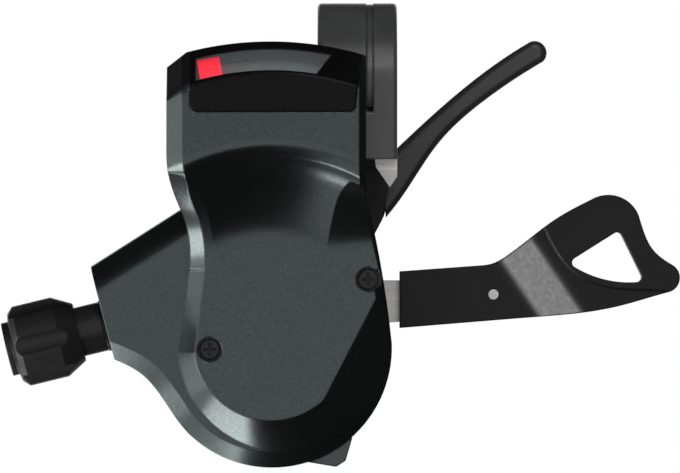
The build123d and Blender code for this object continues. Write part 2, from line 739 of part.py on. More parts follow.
# Base plate: steel frame behind the plateau, jogged forward to the clamp's leg
with BuildPart() as base_plate:
    with BuildSketch(Plane.YZ.offset(-60)):
        with BuildLine():
            Polyline(
                (PLATE_Y, -70),
                (PLATE_Y, JOG_LOW_Z),
                (BRACKET_Y, JOG_TOP_Z),
                (BRACKET_Y, BRACKET_TOP_Z),
                (BRACKET_Y + PLATE_T, BRACKET_TOP_Z),
                (BRACKET_Y + PLATE_T, JOG_TOP_Z),
                (PLATE_Y + PLATE_T, JOG_LOW_Z),
                (PLATE_Y + PLATE_T, -70),
                close=True,
            )
        make_face()
    extrude(amount=100)
    with BuildSketch(at_depth(PROFILE_BACK_Y)):
        add(raised_face(PLATE_INSET))
        with Locations((AXLE_X, POD_TOP_Z)):
            Rectangle(4 * POD_R, 2 * POD_R, align=(Align.CENTER, Align.MAX), mode=Mode.INTERSECT)
        with BuildLine():
            Polyline(
                (BRACKET_LEFT + 2, POD_TOP_Z - 1),
                (BRACKET_LEFT, POD_TOP_Z + NECK_RISE * 27 / 79),
                (BRACKET_LEFT, HEAD_FLOOR_Z - NECK_RISE * 22 / 79),
                (BAND_LEFT, HEAD_FLOOR_Z),
                (BAND_LEFT, BRACKET_TOP_Z),
                (BRACKET_RIGHT, BRACKET_TOP_Z),
                (BRACKET_RIGHT, HEAD_FLOOR_Z - 2.3),
                (BRACKET_RIGHT - 1.3, HEAD_FLOOR_Z - 4.2),
                (HEAD_RIGHT + 1.8, HEAD_FLOOR_Z - 0.6),
                (HEAD_RIGHT + 1.6, GAP - LEG_LENGTH),
                (HEAD_RIGHT - 0.6, GAP - LEG_LENGTH),
                (HEAD_RIGHT - 0.6, POD_TOP_Z + GAP),
                (AXLE_X + 13, POD_TOP_Z + GAP),
                (AXLE_X + 13, POD_TOP_Z - 1),
                close=True,
            )
        make_face()
    extrude(amount=60, mode=Mode.INTERSECT)
    with BuildSketch(at_depth(PLATE_Y + PLATE_T)):
        with Locations(AXLE):
            Circle(AXLE_R + 0.02)
        with Locations(SCREW_LEFT):
            Circle(SCREW_R + 0.02)
        with Locations(NEEDLE_PIVOT):
            Circle(NEEDLE_PIN_R + 0.02)
        with Locations(SCREW_RIGHT):
            Circle(SCREW_HEAD_R + 0.6 + GAP)
        SlotArc(DRIVE_ARC, 2 * (DRIVE_PIN_R + GAP))
    extrude(amount=PLATE_T * 2, mode=Mode.SUBTRACT)
    with BuildSketch(at_depth(BRACKET_Y + PLATE_T)):
        for x in RIVET_X:
            with Locations((x, (BRACKET_TOP_Z - LEG_LENGTH) / 2)):
                Circle(RIVET_R + 0.02)
    extrude(amount=PLATE_T, mode=Mode.SUBTRACT)
keep(base_plate.part, "base_plate")

# Handlebar clamp: split band with ears behind and a flat leg in front
BAND_R = BAR_R + BAND_T
BAND_W = BAND_RIGHT - BAND_LEFT
BAND_MID_X = (BAND_LEFT + BAND_RIGHT) / 2
EAR_BOLT_Y = BAND_R + EAR_REACH / 2
with BuildPart() as clamp_band:
    with BuildSketch(Plane.YZ.offset(BAND_LEFT)):
        Circle(BAND_R)
        with Locations((-BAND_R, 0)):
            Rectangle(LEG_T, LEG_LENGTH, align=(Align.MIN, Align.MAX))
        with Locations((0, 0)):
            Rectangle(BAND_R + EAR_REACH, BAND_SLIT + 2 * EAR_T, align=(Align.MIN, Align.CENTER))
        Circle(BAR_R, mode=Mode.SUBTRACT)
        with Locations((BAR_R / 2, 0)):
            Rectangle(BAND_R + EAR_REACH, BAND_SLIT, align=(Align.MIN, Align.CENTER), mode=Mode.SUBTRACT)
    extrude(amount=BAND_W)
    rims = clamp_band.edges().filter_by(GeomType.CIRCLE).filter_by(lambda e: e.radius > BAR_R + 0.1)
    fillet(rims.filter_by(lambda e: e.center().Z > 0), radius=BAND_EDGE_R)
    # Ears narrower than the band
    with BuildSketch(at_depth(BAND_R + EAR_REACH + 1)):
        with Locations((BAND_MID_X, 0)):
            Rectangle(2 * BAND_W, 2 * BAND_W)
            Rectangle(EAR_W, 2 * BAND_W, mode=Mode.SUBTRACT)
    extrude(amount=EAR_REACH + 1, mode=Mode.SUBTRACT)
    fillet(clamp_band.edges().filter_by(Axis.Z).sort_by(Axis.Y)[-4:], radius=3)
    # Groove round the band beside the head
    with BuildSketch(Plane.YZ.offset(GROOVE_X)):
        Circle(BAND_R + 1)
        Circle(BAND_R - GROOVE_D, mode=Mode.SUBTRACT)
        with Locations((0, -BAND_R / 2)):
            Rectangle(4 * BAND_R, BAND_R * 2, align=(Align.CENTER, Align.MAX), mode=Mode.SUBTRACT)
    extrude(amount=GROOVE_SPAN, mode=Mode.SUBTRACT)
    # Bolt hole through both ears, and the nut's seat in the upper one
    with BuildSketch(Plane.XY.offset(-BAND_R)):
        with Locations((BAND_MID_X, EAR_BOLT_Y)):
            Circle(CLAMP_BOLT_R + SEAT)
    extrude(amount=2 * BAND_R, mode=Mode.SUBTRACT)
    with BuildSketch(at_depth(-BAND_R + LEG_T)):
        for x in RIVET_X:
            with Locations((x, (BRACKET_TOP_Z - LEG_LENGTH) / 2)):
                Circle(RIVET_R + 0.02)
    extrude(amount=LEG_T, mode=Mode.SUBTRACT)
keep(clamp_band.part, "clamp_band")

EAR_OUT = BAND_SLIT / 2 + EAR_T
with BuildPart() as clamp_bolt:
    with BuildSketch(Plane.XY.offset(-EAR_OUT)):
        with Locations((BAND_MID_X, EAR_BOLT_Y)):
            Circle(CLAMP_BOLT_R)
    extrude(amount=2 * EAR_OUT + CLAMP_NUT_T + 1)
    with BuildSketch(Plane.XY.offset(-EAR_OUT)):
        with Locations((BAND_MID_X, EAR_BOLT_Y)):
            Circle(CLAMP_HEAD_R)
    extrude(amount=-CLAMP_HEAD_T)
    fillet(clamp_bolt.edges().group_by(Axis.Z)[0], radius=0.5)
    with BuildSketch(Plane.XY.offset(-EAR_OUT - CLAMP_HEAD_T)):
        with Locations((BAND_MID_X, EAR_BOLT_Y)):
            RegularPolygon(CLAMP_SOCKET_R, 6)
    extrude(amount=CLAMP_HEAD_T * 0.6, mode=Mode.SUBTRACT)
keep(clamp_bolt.part, "clamp_bolt")

with BuildPart() as clamp_nut:
    with BuildSketch(Plane.XY.offset(EAR_OUT)):
        with Locations((BAND_MID_X, EAR_BOLT_Y)):
            RegularPolygon(CLAMP_HEAD_R, 6)
            Circle(CLAMP_BOLT_R + RUN, mode=Mode.SUBTRACT)
    extrude(amount=CLAMP_NUT_T)
keep(clamp_nut.part, "clamp_nut")

with BuildPart() as bracket_rivets:
    for x in RIVET_X:
        with BuildSketch(at_depth(BRACKET_Y + PLATE_T)):
            with Locations((x, (BRACKET_TOP_Z - LEG_LENGTH) / 2)):
                Circle(RIVET_R)
        extrude(amount=PLATE_T + LEG_T)
        with BuildSketch(at_depth(BRACKET_Y + PLATE_T + RIVET_HEAD_T)):
            with Locations((x, (BRACKET_TOP_Z - LEG_LENGTH) / 2)):
                Circle(RIVET_HEAD_R)
        extrude(amount=RIVET_HEAD_T)
keep(bracket_rivets.part, "bracket_rivets")

# Main axle, riveted to the base plate, and what is stacked on it
with BuildPart() as main_axle:
    with BuildSketch(at_depth(TUB_BACK_Y + WASHER_T + NUT_T + 0.6)):
        with Locations(AXLE):
            Circle(AXLE_R)
    extrude(amount=TUB_BACK_Y + WASHER_T + NUT_T + 0.6 - PLATE_Y)
    with BuildSketch(at_depth(PLATE_Y)):
        with Locations(AXLE):
            Circle(AXLE_R + 1.4)
    extrude(amount=AXLE_HEAD_T)
    chamfer(main_axle.edges().group_by(Axis.Y)[-1], length=0.5)
keep(main_axle.part, "main_axle")
disc("lever_spacer", AXLE, BUSH_R, LEVER_BACK_Y + SEAT, RELEASE_Y - SEAT, AXLE_R + RUN)
disc("release_washer", AXLE, HUB_R - 1, RELEASE_BACK_Y + GAP, TUB_FLOOR_Y - SEAT, AXLE_R + RUN)
disc("axle_washer", AXLE, HUB_R - 0.8, TUB_BACK_Y, TUB_BACK_Y + WASHER_T, AXLE_R + RUN)
with BuildPart() as axle_nut:
    with BuildSketch(at_depth(TUB_BACK_Y + WASHER_T + NUT_T)):
        with Locations(AXLE):
            RegularPolygon(NUT_R, 6)
            Circle(AXLE_R + RUN, mode=Mode.SUBTRACT)
    extrude(amount=NUT_T)
keep(axle_nut.part, "axle_nut")

# Cover screws: cross-headed, the right one longer
def cover_screw(name, place, tip_y):
    seat_y = PLATEAU_Y + SCREW_SINK + SCREW_HEAD_T
    with BuildPart() as screw:
        with BuildSketch(at_depth(tip_y)):
            with Locations(place):
                Circle(SCREW_R)
        extrude(amount=tip_y - seat_y)
        with BuildSketch(at_depth(seat_y)):
            with Locations(place):
                Circle(SCREW_HEAD_R)
        extrude(amount=SCREW_HEAD_T)
        fillet(screw.edges().group_by(Axis.Y)[0], radius=0.4)
        with BuildSketch(at_depth(seat_y - SCREW_HEAD_T)):
            with Locations(place):
                Rectangle(1.7 * SCREW_HEAD_R / 1.4, 0.5)
                Rectangle(0.5, 1.7 * SCREW_HEAD_R / 1.4)
        extrude(amount=-0.8, mode=Mode.SUBTRACT)
    keep(screw.part, name)


cover_screw("cover_screw_left", SCREW_LEFT, PLATE_Y + PLATE_T)
cover_screw("cover_screw_right", SCREW_RIGHT, BLOCK_BACK_Y - 1.5)

# Plug of the cable port
with BuildPart() as cable_port_cap:
    with BuildSketch(PORT_PLANE):
        Circle(PORT_R)
    extrude(amount=4)
    with BuildSketch(PORT_PLANE):
        Circle(PORT_HEAD_R)
    extrude(amount=-1.2)
    with BuildSketch(PORT_PLANE.offset(-1.2)):
        Rectangle(0.7, 4 * PORT_R)
    extrude(amount=0.6, mode=Mode.SUBTRACT)
keep(cable_port_cap.part, "cable_port_cap")

# Indicator: black frame over the front and top of the head, clear lens and grey dial
with BuildPart() as indicator_frame:
    add(raised_solid(ridge_r=FRAME_RIDGE_R))
    with BuildSketch(at_depth(HEAD_BACK_Y - HEAD_BACK_T - SEAT)):
        add(head_region())
    extrude(amount=20, mode=Mode.INTERSECT)
    add(raised_solid(FRAME_T, FRAME_T, FRAME_RIDGE_R), mode=Mode.SUBTRACT)
    with BuildSketch(at_depth(HEAD_BACK_Y)):
        add(window_face())
    extrude(amount=20, mode=Mode.SUBTRACT)
keep(indicator_frame.part, "indicator_frame")

with BuildPart() as indicator_lens:
    add(raised_solid(SEAT, ridge_r=FRAME_RIDGE_R))
    add(raised_solid(SEAT + LENS_T, ridge_r=FRAME_RIDGE_R), mode=Mode.SUBTRACT)
    with BuildSketch(at_depth(HEAD_BACK_Y)):
        add(window_face(SEAT))
    extrude(amount=20, mode=Mode.INTERSECT)
keep(indicator_lens.part, "indicator_lens")

SLOPE_RUN = Vector(SLOPE_TOP_Y - RIDGE_Y, SLOPE_TOP_REACH - RIDGE_REACH).normalized()
SLOPE_IN = Vector(SLOPE_RUN.Y, -SLOPE_RUN.X)


def on_slope(along, depth):
    """Place on the head's upper slope, as depth and reach from the main axle."""
    place = Vector(RIDGE_Y, RIDGE_REACH) + SLOPE_RUN * along + SLOPE_IN * depth
    return (place.X, place.Y)


with BuildPart() as indicator_dial:
    with BuildSketch(AXLE_FLAT):
        with BuildLine():
            Polyline(
                on_slope(FLAG_LOW + 0.6, DIAL_DEPTH),
                on_slope(FLAG_TOP - 0.2, DIAL_DEPTH),
                on_slope(FLAG_TOP - 0.2, DIAL_DEPTH + DIAL_T),
                on_slope(FLAG_LOW + 0.6, DIAL_DEPTH + DIAL_T),
                close=True,
            )
        make_face()
    revolve(axis=AXLE_OVER, revolution_arc=180)
    with BuildSketch(at_depth(HEAD_BACK_Y - HEAD_BACK_T - SEAT)):
        with Locations(((FRAME_LEFT + FRAME_RIGHT) / 2, 0)):
            Rectangle(FRAME_RIGHT - FRAME_LEFT - 2 * FRAME_T, 20)
    extrude(amount=20, mode=Mode.INTERSECT)
keep(indicator_dial.part, "indicator_dial")

# Cable drum with its winding groove, spring recess and driving dowels
with BuildPart() as cable_drum:
    with BuildSketch(at_depth(RATCHET_Y)):
        with Locations(AXLE):
            Circle(FLANGE_R)
    extrude(amount=DRUM_T)
    with BuildSketch(at_depth(GROOVE_Y + GROOVE_W / 2)):
        with Locations(AXLE):
            Circle(FLANGE_R + 1)
            Circle(WIND_R, mode=Mode.SUBTRACT)
    extrude(amount=GROOVE_W, mode=Mode.SUBTRACT)
    with BuildSketch(at_depth(DRUM_Y + SPRING_DEPTH)):
        with Locations(AXLE):
            Circle(SPRING_R + SPRING_WIRE_R + GAP)
            Circle(SPRING_R - SPRING_WIRE_R - GAP, mode=Mode.SUBTRACT)
    extrude(amount=SPRING_DEPTH, mode=Mode.SUBTRACT)
    with BuildSketch(at_depth(RATCHET_Y + RATCHET_T)):
        with Locations(AXLE):
            with PolarLocations(DOWEL_REACH, 3, start_angle=30):
                Circle(DOWEL_R)
    extrude(amount=RATCHET_T)
    with BuildSketch(at_depth(RATCHET_Y + RATCHET_T)):
        with Locations(AXLE):
            Circle(AXLE_R + RUN)
    extrude(amount=RATCHET_T + DRUM_T, mode=Mode.SUBTRACT)
    # Seat of the cable end, open to the groove
    with BuildSketch(at_depth(RATCHET_Y)):
        with Locations(on_pod(WIND_R - NIPPLE_R, NIPPLE_ANGLE)):
            Circle(NIPPLE_R)
    extrude(amount=RATCHET_Y - GROOVE_Y + GROOVE_W / 2, mode=Mode.SUBTRACT)
    with BuildSketch(at_depth(DRUM_Y + DRIVE_SET)):
        with Locations(on_pod(DRIVE_RADIUS, 90 + DRIVE_REST)):
            Circle(DRIVE_PIN_R + 0.02)
    extrude(amount=DRIVE_SET, mode=Mode.SUBTRACT)
keep(cable_drum.part, "cable_drum")

# Ratchet wheel: saw teeth for the feed pawl on top and for the hold pawl below
with BuildPart() as ratchet_wheel:
    with BuildSketch(at_depth(RATCHET_Y + RATCHET_T)):
        with Locations(AXLE):
            Circle(RATCHET_R)
            with PolarLocations(DOWEL_REACH, 3, start_angle=30):
                Circle(DOWEL_R + SEAT / 2, mode=Mode.SUBTRACT)
            Circle(AXLE_R + RUN, mode=Mode.SUBTRACT)
        for first in (FEED_ANGLE - PAWL_SPAN, HOLD_ANGLE + PAWL_SPAN):
            for step in range(TEETH):
                angle = first + step * TOOTH_PITCH
                with BuildLine():
                    Polyline(
                        on_pod(RATCHET_R + 0.5, angle),
                        on_pod(RATCHET_R - TOOTH_DEPTH, angle),
                        on_pod(RATCHET_R + 0.5, angle + TOOTH_PITCH * 0.8),
                        close=True,
                    )
                make_face(mode=Mode.SUBTRACT)
    extrude(amount=RATCHET_T)
keep(ratchet_wheel.part, "ratchet_wheel")

disc(
    "indicator_drive_pin",
    on_pod(DRIVE_RADIUS, 90 + DRIVE_REST),
    DRIVE_PIN_R,
    NEEDLE_Y,
    DRUM_Y + DRIVE_SET,
)
disc("needle_pivot_pin", NEEDLE_PIVOT, NEEDLE_PIN_R, NEEDLE_Y, PLATE_Y + PLATE_T)


def pawl_pin(name, angle, back):
    """Headed pin that a pawl turns on."""
    with BuildPart() as pin:
        with BuildSketch(at_depth(back)):
            with Locations(on_pod(PAWL_REACH, angle)):
                Circle(PAWL_PIN_R)
        extrude(amount=back - RATCHET_Y + SEAT)
        with BuildSketch(at_depth(RATCHET_Y - SEAT)):
            with Locations(on_pod(PAWL_REACH, angle)):
                Circle(PAWL_PIN_HEAD_R)
        extrude(amount=PAWL_PIN_HEAD_T)
    keep(pin.part, name)


pawl_pin("hold_pawl_pin", HOLD_ANGLE, PART_Y + HOLD_PIN_SET)
pawl_pin("feed_pawl_pin", FEED_ANGLE, LEVER_BACK_Y)

# Springs: one turns the drum back, one turns the main lever back
def coil(name, radius, front, back, turns):
    height = back - front - 2 * SPRING_WIRE_R
    start = (AXLE_X, front + SPRING_WIRE_R, AXLE_Z)
    with BuildPart() as spring:
        with BuildLine() as path:
            Helix(height / turns, height, radius, center=start, direction=(0, 1, 0))
        with BuildSketch(Plane(origin=path.line @ 0, z_dir=path.line % 0)):
            Circle(SPRING_WIRE_R)
        sweep(path=path.line)
    keep(spring.part, name)


coil("drum_spring", SPRING_R, DRUM_Y + SEAT, DRUM_Y + SPRING_DEPTH - SEAT, 3)
coil("lever_spring", BUSH_R + SPRING_WIRE_R + GAP, LEVER_BACK_Y + GAP, RELEASE_Y - GAP, 4)

# Pawls: an eye on a pin and a nose that stands just clear of the teeth
def pawl(name, angle, turn):
    eye = on_pod(PAWL_REACH, angle)
    nose = angle + turn * PAWL_SPAN
    with BuildPart() as piece:
        with BuildSketch(at_depth(RATCHET_Y + RATCHET_T)):
            with Locations(eye):
                Circle(PAWL_EYE_R)
            with BuildLine():
                Polyline(
                    on_pod(PAWL_REACH - 0.8 * PAWL_EYE_R, angle),
                    on_pod(RATCHET_R + PAWL_GAP, nose),
                    on_pod(RATCHET_R + PAWL_GAP + PAWL_NOSE, nose),
                    on_pod(PAWL_REACH + 0.8 * PAWL_EYE_R, angle + turn * 4),
                    close=True,
                )
            make_face()
            with Locations(eye):
                Circle(PAWL_PIN_R + RUN, mode=Mode.SUBTRACT)
        extrude(amount=RATCHET_T)
    keep(piece.part, name)


pawl("feed_pawl", FEED_ANGLE, -1)
pawl("hold_pawl", HOLD_ANGLE, 1)

# Needle: a strip from its pivot up through the neck, with the red flag on its end
NEEDLE_AXIS = Axis((NEEDLE_PIVOT[0], 0, NEEDLE_PIVOT[1]), (0, -1, 0))
SCOOP_RUN = BROW_REACH - SCOOP_REACH
NECK_BENDS = (
    (NEEDLE_Y, AXLE_Z + SCOOP_REACH + SCOOP_RUN * 25 / 91),
    (NEEDLE_Y - 2.3, AXLE_Z + SCOOP_REACH + SCOOP_RUN * 55 / 91),
    (NEEDLE_Y - 6.6, AXLE_Z + SCOOP_REACH + SCOOP_RUN * 87.5 / 91),
)
NEEDLE_LOW_Z = NEEDLE_PIVOT[1] - 0.62 * NEEDLE_W
FLAG_FOOT = on_slope(FLAG_LOW, FLAG_DEPTH)
FLAG_HEAD = on_slope(FLAG_TOP, FLAG_DEPTH)
with BuildPart() as needle_upright:
    with BuildSketch(Plane.YZ.offset(AXLE_X - NEEDLE_W / 2)):
        with BuildLine():
            front_line = Polyline(
                (NEEDLE_Y, NEEDLE_LOW_Z),
                *NECK_BENDS,
                (FLAG_FOOT[0], AXLE_Z + FLAG_FOOT[1]),
            )
            back_line = Polyline(
                (NEEDLE_Y + NEEDLE_T, NEEDLE_LOW_Z),
                *[(y + NEEDLE_T, z) for y, z in NECK_BENDS],
                (FLAG_FOOT[0] + NEEDLE_T, AXLE_Z + FLAG_FOOT[1]),
            )
            Line(front_line @ 0, back_line @ 0)
            Line(front_line @ 1, back_line @ 1)
        make_face()
    extrude(amount=NEEDLE_W)
    with BuildSketch(at_depth(NEEDLE_Y + NEEDLE_T)):
        with Locations(NEEDLE_PIVOT):
            Circle(NEEDLE_PIN_R + RUN)
        with Locations((AXLE_X, AXLE_Z + DRIVE_RADIUS)):
            SlotOverall(4 * DRIVE_PIN_R, 2 * (DRIVE_PIN_R + SEAT), rotation=90)
    extrude(amount=2 * NEEDLE_T, mode=Mode.SUBTRACT)
with BuildPart() as indicator_needle:
    add(needle_upright.part.rotate(NEEDLE_AXIS, NEEDLE_TILT))
keep(indicator_needle.part, "indicator_needle")

with BuildPart() as flag_upright:
    with BuildSketch(Plane.YZ.offset(AXLE_X - FLAG_W / 2)):
        with BuildLine():
            Polyline(
                (FLAG_FOOT[0], AXLE_Z + FLAG_FOOT[1]),
                (FLAG_HEAD[0], AXLE_Z + FLAG_HEAD[1]),
                (FLAG_HEAD[0] + FLAG_T, AXLE_Z + FLAG_HEAD[1]),
                (FLAG_FOOT[0] + FLAG_T, AXLE_Z + FLAG_FOOT[1]),
                close=True,
            )
        make_face()
    extrude(amount=FLAG_W)
with BuildPart() as pointer_flag:
    add(flag_upright.part.rotate(NEEDLE_AXIS, NEEDLE_TILT))
keep(pointer_flag.part, "pointer_flag")

# Main lever: steel plate on the axle, with an arm for the feed pawl
with BuildPart() as main_lever_plate:
    with BuildSketch(at_depth(LEVER_BACK_Y)):
        with Locations(AXLE):
            Circle(HUB_R)
        with Locations(on_pod(PAWL_REACH, FEED_ANGLE)):
            Circle(PAWL_EYE_R)
        with BuildLine():
            Polyline(
                on_pod(HUB_R, FEED_ANGLE - 70),
                on_pod(PAWL_REACH + PAWL_EYE_R, FEED_ANGLE - 5),
                on_pod(PAWL_REACH + PAWL_EYE_R, FEED_ANGLE + 3),
                on_pod(HUB_R, FEED_ANGLE + 50),
                close=True,
            )
        make_face()
        with BuildLine():
            Polyline(
                on_pod(HUB_R, 80),
                spot(19.2, 9.4),
                spot(20.0, 12.1),
                spot(41.2, 11.9),
                spot(44.6, 7.2),
                spot(41.2, 5.8),
                spot(20.0, 4.4),
                on_pod(HUB_R, -60),
                close=True,
            )
        make_face()
        with Locations(AXLE):
            Circle(AXLE_R + RUN, mode=Mode.SUBTRACT)
        with Locations(on_pod(PAWL_REACH, FEED_ANGLE)):
            Circle(PAWL_PIN_R + 0.02, mode=Mode.SUBTRACT)
        with Locations(CAP_RIVET):
            Circle(CAP_RIVET_R + 0.02, mode=Mode.SUBTRACT)
    extrude(amount=LEVER_T)
keep(main_lever_plate.part, "main_lever_plate")

# Cap of the main lever: bent forward to a thumb pad with a three-sided hole
CAP_Y = LEVER_Y - CAP_FRONT_T
CAP_BACK_Y = LEVER_BACK_Y + CAP_BACK_T
BEND_ALONG = (sin(radians(BEND_TILT)), 0, -cos(radians(BEND_TILT)))
BEND_ACROSS = (cos(radians(BEND_TILT)), 0, sin(radians(BEND_TILT)))
BEND_PLANE = Plane(origin=(BEND[0], 0, BEND[1]), x_dir=BEND_ACROSS, z_dir=BEND_ALONG)


def cap_face():
    """Front outline of the main lever's cap."""
    with BuildSketch() as face:
        with BuildLine():
            Line(spot(22.9, 13.7), spot(38.0, 14.8))
            Spline(
                spot(38.0, 14.8),
                spot(42.2, 16.5),
                spot(49.9, 22.4),
                spot(57.3, 26.6),
                tangents=[(1, 0.07), (0.9, 0.44)],
            )
            ThreePointArc(spot(57.3, 26.6), spot(62.4, 27.1), spot(65.8, 23.8))
            Spline(
                spot(65.8, 23.8),
                spot(68.4, 17.6),
                spot(72.0, 14.8),
                tangents=[(0.3, -0.95), (0.86, -0.5)],
            )
            ThreePointArc(spot(72.0, 14.8), spot(73.2, 12.4), spot(71.3, 10.0))
            Spline(
                spot(71.3, 10.0),
                spot(62.0, 7.4),
                spot(43.8, 5.2),
                tangents=[(-0.97, -0.25), (-1, -0.08)],
            )
            Polyline(spot(43.8, 5.2), spot(22.9, 3.5), spot(22.9, 13.7))
        make_face()
    return face.sketch


with BuildPart() as main_lever_cap:
    with BuildSketch(at_depth(PROFILE_BACK_Y)):
        add(cap_face())
    extrude(amount=60)
    with BuildSketch(BEND_PLANE.offset(-30)) as bend:
        with BuildLine():
            Polyline(
                (-40, -CAP_Y),
                (-BEND_RUN / 2, -CAP_Y),
                (BEND_RUN / 2, PAD_RISE - CAP_Y),
                (40, PAD_RISE - CAP_Y),
                (40, PAD_RISE - CAP_Y - PAD_T),
                (BEND_RUN / 2, PAD_RISE - CAP_Y - PAD_T),
                (-BEND_RUN / 2, -CAP_BACK_Y),
                (-40, -CAP_BACK_Y),
                close=True,
            )
        make_face()
        fillet(bend.vertices().filter_by(lambda v: abs(v.X) < BEND_RUN), radius=BEND_R)
    extrude(amount=60, mode=Mode.INTERSECT)
    # Raised rim on the pad, with a crease along its left and lower side
    with BuildSketch(at_depth(CAP_Y - PAD_RISE)):
        with BuildLine():
            Spline(
                spot(48.6, 22.5),
                spot(52.1, 15.8),
                spot(55.1, 12.9),
                spot(58.6, 11.3),
                spot(64.0, 10.5),
                spot(74.0, 9.6),
            )
            Polyline(spot(74.0, 9.6), spot(76.0, 32.0), spot(48.6, 32.0), spot(48.6, 22.5))
        make_face()
        add(cap_face(), mode=Mode.INTERSECT)
    extrude(amount=RIM_T)
    # Three-sided hole in the pad
    with BuildSketch(at_depth(PROFILE_BACK_Y)):
        with BuildLine():
            Polyline(spot(53.1, 15.3), spot(62.3, 21.1), spot(66.8, 11.9))
            ThreePointArc(spot(66.8, 11.9), spot(59.6, 12.3), spot(53.1, 15.3))
        hole = make_face()
        fillet(hole.vertices(), radius=0.9)
    extrude(amount=60, mode=Mode.SUBTRACT)
    # Pocket for the plate and the hole of the rivet
    with BuildSketch(at_depth(LEVER_BACK_Y + RUN)):
        with BuildLine():
            Polyline(
                spot(20.0, 12.1 + SEAT),
                spot(41.2 + SEAT, 11.9 + SEAT),
                spot(44.6 + 2 * SEAT, 7.2),
                spot(41.2, 5.8 - 2 * SEAT),
                spot(20.0, 4.4 - SEAT),
                close=True,
            )
        make_face()
    extrude(amount=LEVER_T + 2 * RUN, mode=Mode.SUBTRACT)
    with BuildSketch(at_depth(PROFILE_BACK_Y)):
        with Locations(CAP_RIVET):
            Circle(CAP_RIVET_R + 0.02)
    extrude(amount=60, mode=Mode.SUBTRACT)
keep(main_lever_cap.part, "main_lever_cap")
disc("cap_rivet", CAP_RIVET, CAP_RIVET_R, CAP_Y - 0.15, CAP_BACK_Y + 0.15)

# Release lever: steel plate on the axle with a slim curved cap
with BuildPart() as release_lever_plate:
    with BuildSketch(at_depth(RELEASE_BACK_Y)):
        with Locations(AXLE):
            Circle(HUB_R - 1)
        with BuildLine():
            Polyline(
                on_pod(HUB_R - 1, 130),
                spot(13.2, 23.8),
                spot(20.8, 31.6),
                spot(27.4, 37.6),
                spot(28.2, 36.6),
                spot(24.0, 30.9),
                spot(20.8, 25.8),
                spot(20.1, 23.6),
                spot(18.4, 20.6),
                on_pod(HUB_R - 1, -25),
                close=True,
            )
        make_face()
        with Locations(AXLE):
            Circle(AXLE_R + RUN, mode=Mode.SUBTRACT)
    extrude(amount=LEVER_T)
keep(release_lever_plate.part, "release_lever_plate")

RELEASE_CAP_Y = RELEASE_Y - RELEASE_CAP_FRONT_T
RELEASE_CAP_BACK_Y = RELEASE_BACK_Y + RELEASE_CAP_BACK_T
with BuildPart() as release_lever_cap:
    with BuildSketch(at_depth(RELEASE_CAP_BACK_Y)):
        with BuildLine():
            Spline(spot(19.6, 33.2), spot(28.3, 41.4), spot(40.6, 51.4), spot(46.2, 55.0))
            ThreePointArc(spot(46.2, 55.0), spot(49.4, 54.2), spot(49.0, 51.7))
            Spline(
                spot(49.0, 51.7),
                spot(37.6, 44.05),
                spot(30.2, 37.1),
                spot(24.4, 28.6),
                spot(20.5, 23.4),
            )
            Line(spot(20.5, 23.4), spot(19.6, 33.2))
        make_face()
    extrude(amount=RELEASE_CAP_BACK_Y - RELEASE_CAP_Y)
    face_rim = release_lever_cap.faces().sort_by(Axis.Y)[0].edges()
    fillet(face_rim.filter_by(lambda e: e.center().X > AXLE_X + 25), radius=RELEASE_EDGE_R)
    with BuildSketch(at_depth(RELEASE_BACK_Y + RUN)):
        with BuildLine():
            Polyline(
                spot(13.2, 23.8 + 4 * SEAT),
                spot(20.8 - SEAT, 31.6 + SEAT),
                spot(27.4, 37.6 + 2 * SEAT),
                spot(28.2 + 2 * SEAT, 36.6),
                spot(24.0 + SEAT, 30.9 - SEAT),
                spot(20.8 + SEAT, 25.8 - SEAT),
                spot(20.1, 23.6),
                spot(18.4, 20.6),
                close=True,
            )
        make_face()
    extrude(amount=LEVER_T + 2 * RUN, mode=Mode.SUBTRACT)
keep(release_lever_cap.part, "release_lever_cap")

# Cable adjuster: hollow bolt in the wing's boss and the knob on it
BOLT_OUT = ADJ_NECK_L + KNOB_L
ADJ_SIDE = Vector(ADJ_OUT).cross(Vector(0, -1, 0))
with BuildPart() as adjuster_bolt:
    with BuildSketch(ADJ_PLANE.offset(-ADJ_THREAD_L)):
        Circle(ADJ_THREAD_R)
    extrude(amount=ADJ_THREAD_L + BOLT_OUT)
    with BuildSketch(ADJ_PLANE.offset(SEAT)):
        Circle(ADJ_NECK_R)
    extrude(amount=ADJ_NECK_L - SEAT)
    with BuildSketch(ADJ_PLANE.offset(-ADJ_THREAD_L)):
        Circle(CABLE_HOLE_R)
    extrude(amount=ADJ_THREAD_L + BOLT_OUT, mode=Mode.SUBTRACT)
    with BuildSketch(ADJ_PLANE.offset(BOLT_OUT)):
        Circle(CASING_R)
    extrude(amount=-CASING_DEPTH, mode=Mode.SUBTRACT)
keep(adjuster_bolt.part, "adjuster_bolt")

with BuildPart() as adjuster_knob:
    with BuildSketch(Plane(origin=ADJ_PLANE.origin, x_dir=ADJ_OUT, z_dir=ADJ_SIDE)):
        with BuildLine():
            Polyline(
                (ADJ_NECK_L, 0),
                (ADJ_NECK_L, KNOB_R - KNOB_TAPER),
                (ADJ_NECK_L + KNOB_TAPER_L, KNOB_R),
                (BOLT_OUT - 2.6, KNOB_R),
                (BOLT_OUT - 1.5, KNOB_STEP_R),
                (BOLT_OUT - 1.2, KNOB_END_R),
                (BOLT_OUT, KNOB_END_R),
                (BOLT_OUT, 0),
                close=True,
            )
        make_face()
    revolve(axis=Axis(ADJ_PLANE.origin, ADJ_OUT))
    with BuildSketch(ADJ_PLANE.offset(ADJ_NECK_L)):
        with PolarLocations(FLUTE_REACH, KNOB_FLUTES):
            Circle(FLUTE_R)
    extrude(amount=KNOB_L, mode=Mode.SUBTRACT)
    with BuildSketch(ADJ_PLANE.offset(ADJ_NECK_L)):
        Circle(ADJ_THREAD_R + 0.02)
    extrude(amount=KNOB_L, mode=Mode.SUBTRACT)
